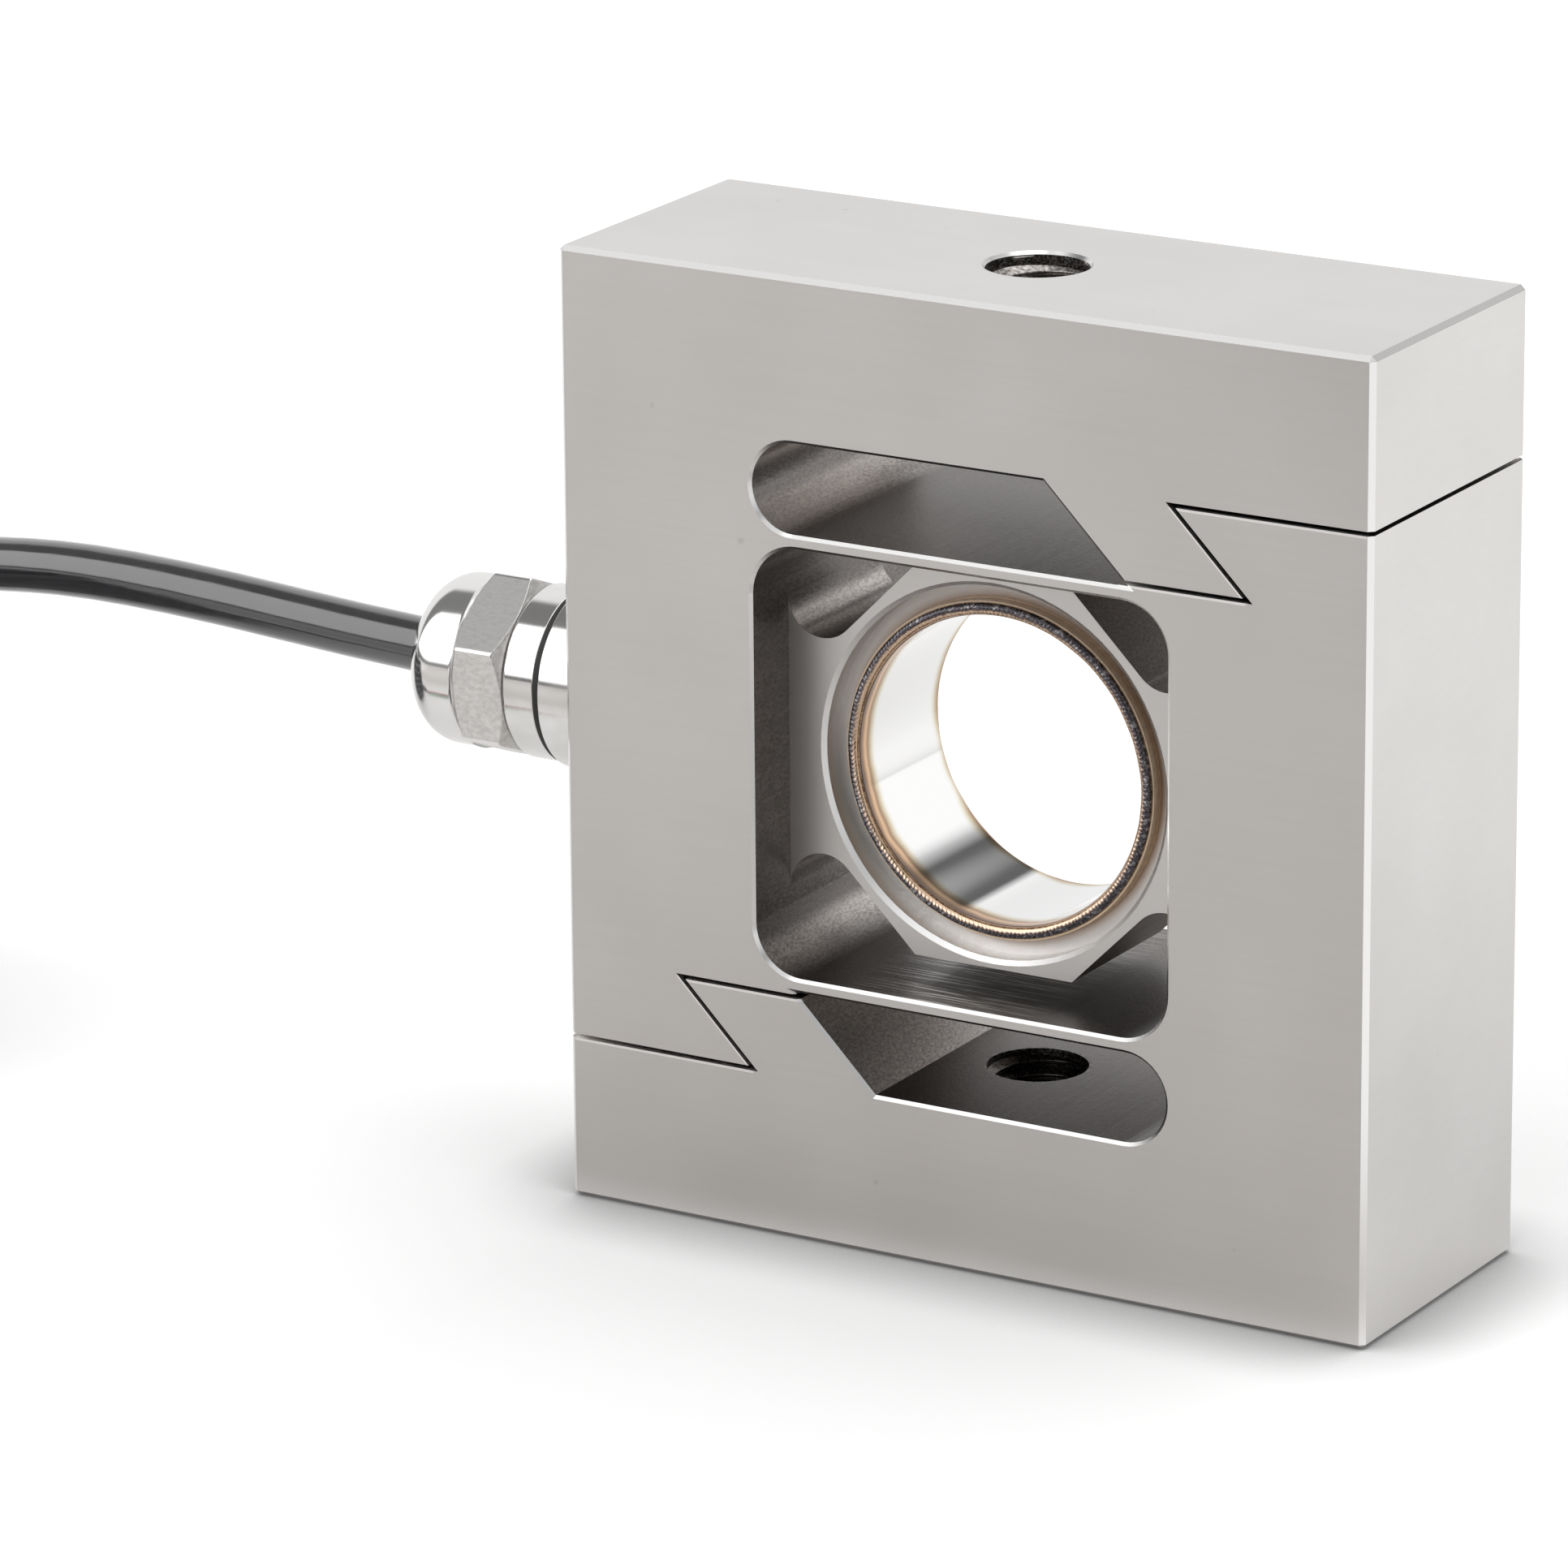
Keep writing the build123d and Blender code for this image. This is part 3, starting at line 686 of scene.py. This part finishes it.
route_curve = bpy.data.curves.new("cable_route", "CURVE")
route_curve.dimensions = "3D"
route = route_curve.splines.new("NURBS")
route.points.add(len(cable_points) - 1)
for point, place in zip(route.points, cable_points):
    point.co = (place[0] * MM, place[1] * MM, place[2] * MM, 1.0)
route.order_u = 3
route.use_endpoint_u = True
route.resolution_u = 5
route_object = bpy.data.objects.new("cable_route", route_curve)
bpy.context.scene.collection.objects.link(route_object)
route_mesh = bpy.data.meshes.new_from_object(route_object)
centreline = [v.co.copy() for v in route_mesh.vertices]
bpy.data.objects.remove(route_object)
bpy.data.meshes.remove(route_mesh)


def tube_points(line, radius, sides):
    """Rings of points round a line of points, without twist, and a point at each end."""
    points = [line[0]]
    side = Vector((0.0, 0.0, 1.0))
    for i, centre in enumerate(line):
        along = (line[min(i + 1, len(line) - 1)] - line[max(i - 1, 0)]).normalized()
        side = (side - along * side.dot(along)).normalized()
        other = along.cross(side)
        for k in range(sides):
            a = 2 * math.pi * k / sides
            points.append(centre + (side * math.cos(a) + other * math.sin(a)) * radius)
    points.append(line[-1])
    return points


def tube_faces(rings, sides):
    """Faces of such a tube, with its two ends closed."""
    faces = [tuple(1 + i for i in face) for face in grid(rings, sides)]
    last = rings * sides + 1
    for k in range(sides):
        faces.append((0, 1 + k, 1 + (k + 1) % sides))
        faces.append((last, last - sides + (k + 1) % sides, last - sides + k))
    return faces


CABLE_SIDES = 20
cable = add_piece(
    "cable", [p / MM for p in tube_points(centreline, CABLE_R * MM, CABLE_SIDES)],
    tube_faces(len(centreline), CABLE_SIDES), jacket,
    ("cable_lead", "cable_coil"))


# Weld beads: a row of overlapping ripples along each rim


def weld_bead(name, face, replaced):
    """Rippled bead on the sleeve's rim; face is -1 in front and 1 behind."""
    ripples, per_ripple, across = 225, 7, 15
    middle, half, crest = 12.825, 0.475, 0.15
    base, crown, ripple_height = 6.0, 0.43, 0.12
    points = []
    steps = ripples * per_ripple
    for i in range(steps):
        a = 2 * math.pi * i / steps
        sway = 0.03 * math.sin(9 * a + 1.0) + 0.02 * math.sin(23 * a)
        for j in range(across):
            u = 2 * j / (across - 1) - 1
            lean = (u - crest) / (1 - crest if u > crest else 1 + crest)
            dome = math.sqrt(max(1 - lean * lean, 0.0))
            phase = (i / per_ripple + 0.9 * u * u + 0.15 * math.sin(31 * a)) % 1.0
            ripple = (phase - 0.5) * ripple_height * dome * min(max(2 * u + 1.2, 0.15), 1.0)
            depth = base + crown * dome + ripple - 0.02 * (1 - dome)
            radius = middle + half * u + sway * dome
            points.append((radius * math.cos(a), face * depth, MID_Z + radius * math.sin(a)))
    faces = grid(steps, across, wrap_rows=True, wrap_columns=False)
    add_piece(name, points, faces, weld, replaced)


weld_bead("front_bead", -1, ("front_weld_bead",))
weld_bead("rear_bead", 1, ("rear_weld_bead",))


# Sleeve, gland and its seals, with rounded edges

SLEEVE_END = 6.02
SLEEVE_INNER_R = 12.3
SLEEVE_OUTER_R = 12.8

sleeve_profile = [(-SLEEVE_END, SLEEVE_INNER_R), (SLEEVE_END, SLEEVE_INNER_R),
                  (SLEEVE_END, SLEEVE_OUTER_R), (-SLEEVE_END, SLEEVE_OUTER_R)]
bore_ring("sleeve", softened(sleeve_profile, 0.1), mirror, ("gauge_sleeve",))

# Dome nut, as lengths out from the side face and radii
NUT_START = 9.6
HEX_END = 14.2
NECK_END = 16.3
DOME_R = 3.0
NUT_END = NECK_END + DOME_R
HEX_R = 6.75
HEX_CORNER_R = 7.9
HEX_TURN = 22.3
BEVEL = 0.6
BEVEL_RISE = 1.04
NECK_R = 6.9
MOUTH_R = 2.6

# Profiles of the gland's rings as (length out, radius), with the weld at the boss's foot
boss_profile = [
    (0.0, 2.5), (0.0, 7.9), (0.18, 7.52), (0.6, 7.3), (5.9, 7.3), (5.9, 5.05), (1.5, 5.05),
    (1.5, 2.5)]
o_ring_profile = [(5.9, 5.3), (5.9, 7.08), (6.55, 7.08), (6.55, 5.3)]
collar_profile = [
    (1.65, 2.45), (1.65, 5.0), (6.5, 5.0), (6.5, 6.92), (6.58, 7.0), (9.25, 7.0), (9.45, 6.8),
    (9.45, 5.2), (13.2, 5.2), (13.2, 3.6), (10.2, 3.6), (10.2, 2.45)]

gland_ring("boss", softened(boss_profile, 0.08), chrome, ("gland_boss",))
gland_ring("o_ring", softened(o_ring_profile, 0.2), seal, ("gland_o_ring",))
gland_ring("collar", softened(collar_profile, 0.1), chrome, ("gland_body",))


def nut_outline():
    """Closed profile of the dome nut: hexagon, neck, dome and mouth, then the inside."""
    outline = [(NUT_START, 5.35), (NUT_START, 6.2), (NUT_START, HEX_R - 0.05)]
    outline += [
        (NUT_START + 0.04 + BEVEL * t / 8, HEX_R + BEVEL_RISE * t / 8) for t in range(9)]
    outline += [(NUT_START + 0.7 + 3.2 * t / 6, HEX_CORNER_R) for t in range(7)]
    outline += [
        (HEX_END - 0.04 - BEVEL * (8 - t) / 8, HEX_R + BEVEL_RISE * (8 - t) / 8)
        for t in range(9)]
    outline += [
        (HEX_END, NECK_R + 0.05), (HEX_END + 0.05, NECK_R), (HEX_END + 0.3, NECK_R),
        (NECK_END, NECK_R)]
    for t in range(1, 13):
        a = math.radians(7.5 * t)
        outline.append((NECK_END + DOME_R * math.sin(a), NECK_R - DOME_R + DOME_R * math.cos(a)))
    outline += [
        (NUT_END, MOUTH_R + 0.8), (NUT_END, MOUTH_R + 0.25), (NUT_END - 0.06, MOUTH_R + 0.08),
        (NUT_END - 0.2, MOUTH_R), (NUT_END - 0.9, MOUTH_R), (NUT_END - 2.2, 4.6),
        (NUT_START + 0.4, 5.25)]
    return outline


def hexagon(angle, out, radius):
    """Cut the nut's flats, with their corners broken a little."""
    if out > HEX_END - 0.03 or radius < 6.0:
        return radius
    turn = (math.degrees(angle) - HEX_TURN) % 60.0 - 30.0
    flat = HEX_R / math.cos(math.radians(turn))
    beside = HEX_R / math.cos(math.radians(60.0 - abs(turn)))
    for limit, blend in ((beside, 0.22), (radius, 0.03)):
        gap = max(blend - abs(flat - limit), 0.0) / blend
        flat = min(flat, limit) - gap * gap * blend / 4
    return flat


gland_ring("dome_nut", nut_outline(), nut_look, ("gland_nut",), 720, hexagon)


# Thread ridges inside both end holes


def thread_ridges(name, mouth_z, direction):
    """Helical ridge of an M8 thread from just under the lead chamfer to the slot."""
    pitch, per_turn, start, end = 1.25, 72, 0.55, 13.0
    wall_r, margin, fading_steps = 4.02, 0.62, 30
    turns = (end - start) / pitch
    profile = (
        (-0.60, wall_r), (-0.14, 3.44), (-0.07, 3.38), (0.07, 3.38), (0.14, 3.44), (0.60, wall_r))
    points = []
    steps = int(turns * per_turn)
    for i in range(steps + 1):
        a = 2 * math.pi * i / per_turn
        middle = start + margin + (end - start - 2 * margin) * i / steps
        fade = min(1.0, i / fading_steps, (steps - i) / fading_steps)
        for along, radius in profile:
            radius = wall_r - (wall_r - radius) * fade
            points.append((
                radius * math.cos(a), direction * radius * math.sin(a),
                mouth_z - direction * (middle + along * fade)))
    faces = grid(steps + 1, len(profile), wrap_columns=False)
    add_piece(name, points, faces, thread_look)


thread_ridges("top_thread_ridges", BLOCK_H, 1)
thread_ridges("bottom_thread_ridges", 0.0, -1)


# Coil strap and shrink sleeve


STRAP_CORNER = 1.6


def rounding_start(corner, toward):
    """Where the rounding of a corner starts on the side toward another point."""
    return corner + (toward - corner).normalized() * STRAP_CORNER


def strap_outline(gap):
    """Outline round the wound turns, this far off them, as (radius, height) points."""
    corners = [(15.75, 0.45), (29.85, 0.45), (29.85, 33.35), (25.15, 38.05), (15.75, 38.05)]
    outline = []
    count = len(corners)
    for i in range(count):
        before, corner, after = (Vector(corners[(i + d) % count]) for d in (-1, 0, 1))
        first = rounding_start(corner, before)
        last = rounding_start(corner, after)
        for t in (0.0, 0.2, 0.4, 0.6, 0.8, 1.0):
            outline.append(first * (1 - t) ** 2 + corner * 2 * t * (1 - t) + last * t ** 2)
        for t in (0.2, 0.4, 0.6, 0.8):
            outline.append(last + (rounding_start(after, corner) - last) * t)
    centre = Vector((22.5, 19.0))
    offset = []
    total = len(outline)
    for i in range(total):
        along = (outline[(i + 1) % total] - outline[i - 1]).normalized()
        normal = Vector((along.y, -along.x))
        if normal.dot(outline[i] - centre) < 0:
            normal = -normal
        offset.append(outline[i] + normal * gap)
    return offset


def strap():
    """Woven strap round the turns, on the side away from the cell."""
    near, far = strap_outline(0.06), strap_outline(0.44)
    count = len(near)
    width_steps = 14
    first_angle, width_angle = 190.0, 22.6
    points = []
    for i in range(count):
        ring = []
        for k in range(width_steps + 1):
            ring.append((k / width_steps, far[i]))
        for k in range(width_steps, -1, -1):
            ring.append((k / width_steps, near[i]))
        for share, spot in ring:
            a = math.radians(first_angle + width_angle * share)
            points.append((COIL_X + spot.x * math.cos(a), COIL_Y + spot.x * math.sin(a), spot.y))
    faces = grid(count, 2 * width_steps + 2, wrap_rows=True)
    return add_piece("strap", points, faces, strap_look, ("coil_tie",))


coil_strap = strap()


def shrink_sleeve():
    """Shrunk sleeve: full over the jacket, drawn in over its end, with rolled rims."""
    start, end, jacket_stop = COIL_X + 18.0, COIL_X + 32.0, COIL_X + 27.0
    full_r, drawn_in, wall, bore_r, largest_r = 2.72, 0.72, 0.42, 1.45, 2.74
    sides = 48
    profile = []
    for t in range(29):
        x = start + (end - start) * t / 28
        drawn = min(max((x - jacket_stop + 0.6) / 2.4, 0.0), 1.0)
        drawn = drawn * drawn * (3 - 2 * drawn)
        profile.append((x, full_r - drawn_in * drawn))
    outer = [(start, 2.5)] + profile + [(end, 1.75)]
    inner = [(x, max(r - wall, bore_r)) for x, r in reversed(profile)]
    ring = outer + inner
    points = []
    for i in range(sides):
        a = 2 * math.pi * i / sides
        for x, radius in ring:
            lump = 0.03 * math.sin(3 * a + x) if radius > 1.7 else 0.0
            r = min(radius + lump, largest_r)
            points.append((x, TAIL_Y + r * math.cos(a), FLOOR_LEVEL_Z + r * math.sin(a)))
    faces = grid(sides, len(ring), wrap_rows=True)
    return add_piece("shrink", points, faces, shrink_look, ("heat_shrink",))


shrink = shrink_sleeve()


# Floor, world and lamp

FLOOR_HALF = 3.0
FLOOR_DROP = 0.00002
FLOOR_COLOR = 0.90
FLOOR_GLOW = 0.09
COIL_SIDE_GLOW = 0.14
CONTACT_REACH = 0.010

floor_mesh = bpy.data.meshes.new("floor")
floor_mesh.from_pydata(
    [(-FLOOR_HALF, -FLOOR_HALF, 0), (FLOOR_HALF, -FLOOR_HALF, 0),
     (FLOOR_HALF, FLOOR_HALF, 0), (-FLOOR_HALF, FLOOR_HALF, 0)], [], [(0, 1, 2, 3)])
floor = bpy.data.objects.new("floor", floor_mesh)
bpy.context.scene.collection.objects.link(floor)
floor.location.z = -FLOOR_DROP


def floor_look():
    """White to the camera; in reflections a floor with painted light and shade, dark on the
    photographer's side and darker in front of the cell.
    """
    look = Look("floor_look", (FLOOR_COLOR,) * 3, 0.9)
    x, y, _ = look.millimetres()
    heading = look.math("ARCTAN2", y, x)
    # Lines of equal value run from the camera's side past the cell
    across = look.math("ADD", x, look.math("MULTIPLY", y, -0.583))
    behind_camera = look.every(
        look.rising(across, 80.0, 120.0), look.falling(heading, -0.80, -0.62),
        look.falling(y, -60.0, -30.0))
    beyond = look.every(look.falling(y, -100.0, -60.0), look.rising(across, -170.0, -140.0))
    front = look.every(
        look.falling(y, -18.0, -12.5), look.either(look.rising(across, -45.0, -32.0), beyond))
    right = look.every(look.rising(heading, -0.72, -0.58), look.rising(across, 60.0, 100.0))

    # Painted light and shade for reflections: the floor's colour is darker in front of the cell,
    # dark on the photographer's side and lighter behind
    studio = look.mix(look.rising(y, 30.0, 150.0), (0.81, 0.805, 0.80), (0.90, 0.895, 0.89))
    front_painted_shade = look.mix(
        look.falling(y, -200.0, -80.0), (0.56, 0.54, 0.525), (0.66, 0.64, 0.625))
    studio = look.mix(front, studio, front_painted_shade)
    studio = look.mix(look.every(right, front), studio, (0.90, 0.895, 0.89))
    studio = look.mix(behind_camera, studio, (0.10, 0.095, 0.09))

    # What the camera sees: white, shaded where the cell stands on it, lit over the coil's shadow
    seen = look.node("LightPath", output="Is Camera Ray")
    open_sky = look.node("AmbientOcclusion", {"Distance": CONTACT_REACH}, output="AO", samples=6)
    contact = look.between(open_sky, 0.5, 1.0, 0.45, 1.0)
    white = look.mix(contact, (0.0, 0.0, 0.0), (FLOOR_COLOR,) * 3)
    look.put("Base Color", look.mix(seen, studio, white))
    look.put("Specular IOR Level", 0.0)
    look.put("Emission Color", (1.0, 1.0, 1.0, 1.0))
    glow = look.between(x, -85.0, -30.0, FLOOR_GLOW + COIL_SIDE_GLOW, FLOOR_GLOW)
    look.put("Emission Strength", look.every(seen, glow, contact))
    return look


floor_mesh.materials.append(floor_look().material)

OPEN_LEVEL = 0.91
BACK_RIGHT_LEVEL = 1.08
BOX_LEVEL = 1.9
GAP_LEVEL = 0.22
PATCH_LEVEL = 0.12
DARK_LEVEL = 0.10

world = bpy.data.worlds.new("world")
world.use_nodes = True
bpy.context.scene.world = world


def studio_world():
    """White to the camera; in reflections a soft box at the front left and dark gaps round it."""
    sky = Nodes(world.node_tree)
    dx, dy, dz = sky.parts(sky.node("TexCoord", output="Generated"))
    tilt = sky.math("ARCTAN2", dz, sky.math("MULTIPLY", dy, -1.0))
    heading = sky.math("ARCTAN2", dy, dx)
    left = sky.falling(dx, -0.25, -0.15)
    gap = sky.every(sky.rising(tilt, 1.26, 1.32), sky.falling(tilt, 1.95, 2.10), left)
    patch = sky.every(
        sky.rising(dz, 0.43, 0.50), sky.falling(dz, 0.55, 0.62),
        sky.rising(dx, -0.26, -0.20), sky.falling(dx, 0.18, 0.36), sky.rising(dy, 0.0, 0.2))
    horizon = sky.every(sky.falling(dz, 0.045, 0.075), sky.falling(dy, -0.1, 0.1), left)
    behind_camera = sky.every(
        sky.rising(heading, -1.45, -1.25), sky.falling(heading, -0.80, -0.62),
        sky.falling(dz, 0.60, 0.75))
    box = sky.every(
        sky.falling(dy, -0.10, 0.05), left, sky.rising(dz, 0.06, 0.09),
        sky.falling(dz, 0.90, 0.97))
    back_right = sky.every(sky.rising(dy, 0.0, 0.2), sky.rising(dx, -0.35, -0.10))

    level = sky.blend(back_right, OPEN_LEVEL, BACK_RIGHT_LEVEL)
    level = sky.blend(box, level, BOX_LEVEL)
    level = sky.blend(sky.either(patch, horizon), level, PATCH_LEVEL)
    level = sky.blend(gap, level, GAP_LEVEL)
    level = sky.blend(behind_camera, level, DARK_LEVEL)
    seen = sky.node("LightPath", output="Is Camera Ray")
    background = sky.tree.nodes["Background"]
    sky.set(background.inputs["Color"], (1.0, 1.0, 1.0, 1.0))
    sky.set(background.inputs["Strength"], sky.blend(seen, level, 1.0))


studio_world()

LAMP_PLACE = (0.1, 0.1, 0.9)
LAMP_TARGET = (0.0, 0.0, 0.04)
LAMP_SIZE = 0.7
LAMP_WATTS = 2.0

lamp_data = bpy.data.lights.new("top_light", "AREA")
lamp_data.shape = "RECTANGLE"
lamp_data.size = lamp_data.size_y = LAMP_SIZE
lamp_data.energy = LAMP_WATTS
lamp = bpy.data.objects.new("top_light", lamp_data)
bpy.context.scene.collection.objects.link(lamp)
lamp.location = LAMP_PLACE
lamp_aim = Vector(LAMP_TARGET) - Vector(LAMP_PLACE)
lamp.rotation_euler = lamp_aim.to_track_quat("-Z", "Y").to_euler()


# Update the view layer

bpy.context.view_layer.update()
